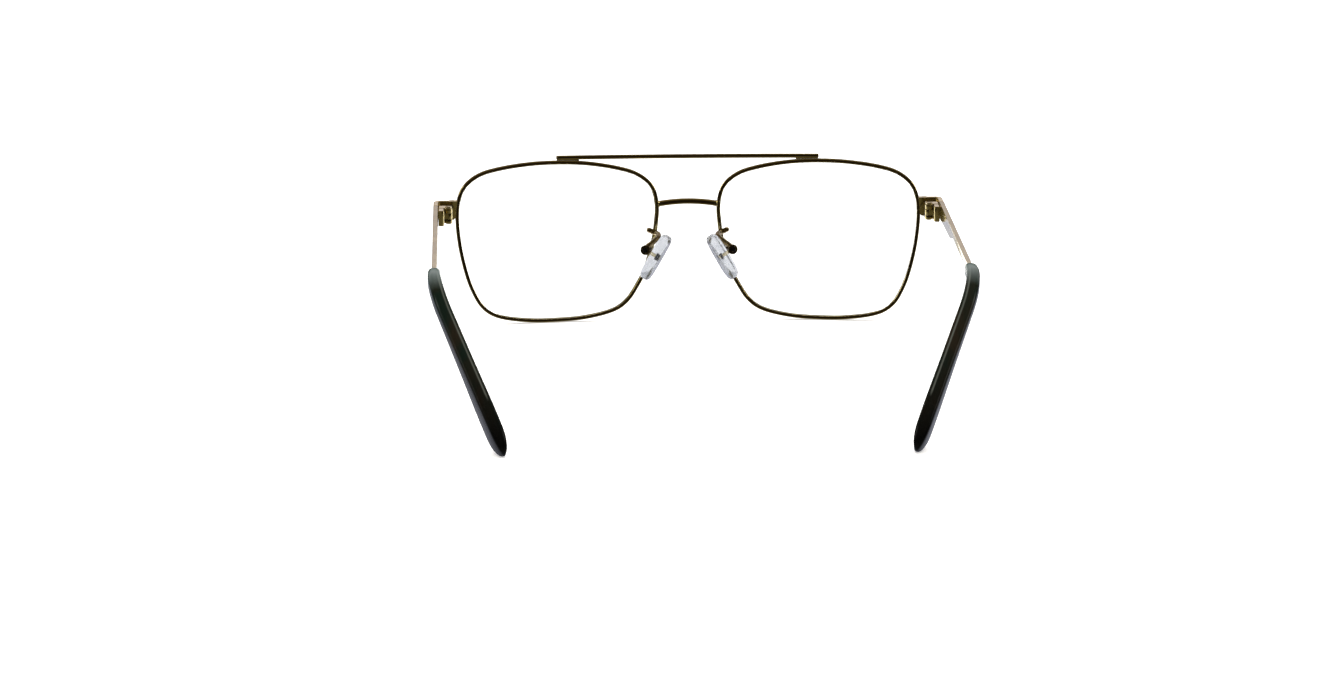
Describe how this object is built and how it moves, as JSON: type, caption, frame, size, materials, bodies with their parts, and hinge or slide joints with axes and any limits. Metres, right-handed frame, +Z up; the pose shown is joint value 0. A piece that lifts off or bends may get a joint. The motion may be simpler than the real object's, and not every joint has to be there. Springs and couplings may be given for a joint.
{
  "type": "folding metal spectacle frame",
  "caption": "Thin metal full-rim spectacle frame with a straight brow bar over an arched bridge, clear lenses, adjustable nose pads and folding temples with dark bent tips.",
  "frame": {"origin": "under the middle of the standing frame, at the level of the rims' lowest points and the ends of the temple tips", "axes": "+X towards the wearer's left, -Y the way the wearer looks, +Z up"},
  "size_m": [0.142, 0.133, 0.0465],
  "materials": {
    "frame_metal": "polished antique gold plating",
    "screws": "polished",
    "lens": "clear, coated",
    "pad": "clear, soft",
    "tip": "glossy, very dark green"
  },
  "bodies": {
    "front": {"bridge": "frame_metal", "brow_bar": "frame_metal", "rim_left": "frame_metal", "rim_right": "frame_metal", "lens_left": "lens", "lens_right": "lens", "brow_foot_left": "frame_metal", "brow_foot_right": "frame_metal", "closing_block_upper_left": "frame_metal", "closing_block_upper_right": "frame_metal", "closing_block_lower_left": "frame_metal", "closing_block_lower_right": "frame_metal", "lock_screw_left": "screws", "lock_screw_right": "screws", "pad_arm_left": "frame_metal", "pad_arm_right": "frame_metal", "pad_box_left": "frame_metal", "pad_box_right": "frame_metal", "pad_screw_left": "screws", "pad_screw_right": "screws", "endpiece_left": "frame_metal", "endpiece_right": "frame_metal", "hinge_front_leaf_left": "frame_metal", "hinge_front_leaf_right": "frame_metal", "hinge_screw_left": "screws", "hinge_screw_right": "screws"},
    "temple_arm_left": {"hinge_temple_leaf_left": "frame_metal", "temple_left": "frame_metal", "temple_tip_left": "tip"},
    "pad_left": {"pad_insert_left": "screws", "nose_pad_left": "pad"},
    "temple_arm_right": {"hinge_temple_leaf_right": "frame_metal", "temple_right": "frame_metal", "temple_tip_right": "tip"},
    "pad_right": {"pad_insert_right": "screws", "nose_pad_right": "pad"}
  },
  "joints": [
    {"name": "temple_left_fold", "type": "hinge", "parent": "front", "child": "temple_arm_left", "pos_m": [0.06668, -0.05351, 0.03225], "axis": [0, 0, 1], "range_deg": [0, 82]},
    {"name": "temple_right_fold", "type": "hinge", "parent": "front", "child": "temple_arm_right", "pos_m": [-0.06668, -0.05351, 0.03225], "axis": [0, 0, -1], "range_deg": [0, 68]},
    {"name": "pad_left_rock", "type": "hinge", "parent": "front", "child": "pad_left", "pos_m": [0.0119, -0.05461, 0.02173], "axis": [0.2756, 0.9519, 0.1338], "range_deg": [-8, 8]},
    {"name": "pad_right_rock", "type": "hinge", "parent": "front", "child": "pad_right", "pos_m": [-0.0119, -0.05461, 0.02173], "axis": [0.2756, -0.9519, -0.1338], "range_deg": [-8, 8]}
  ]
}
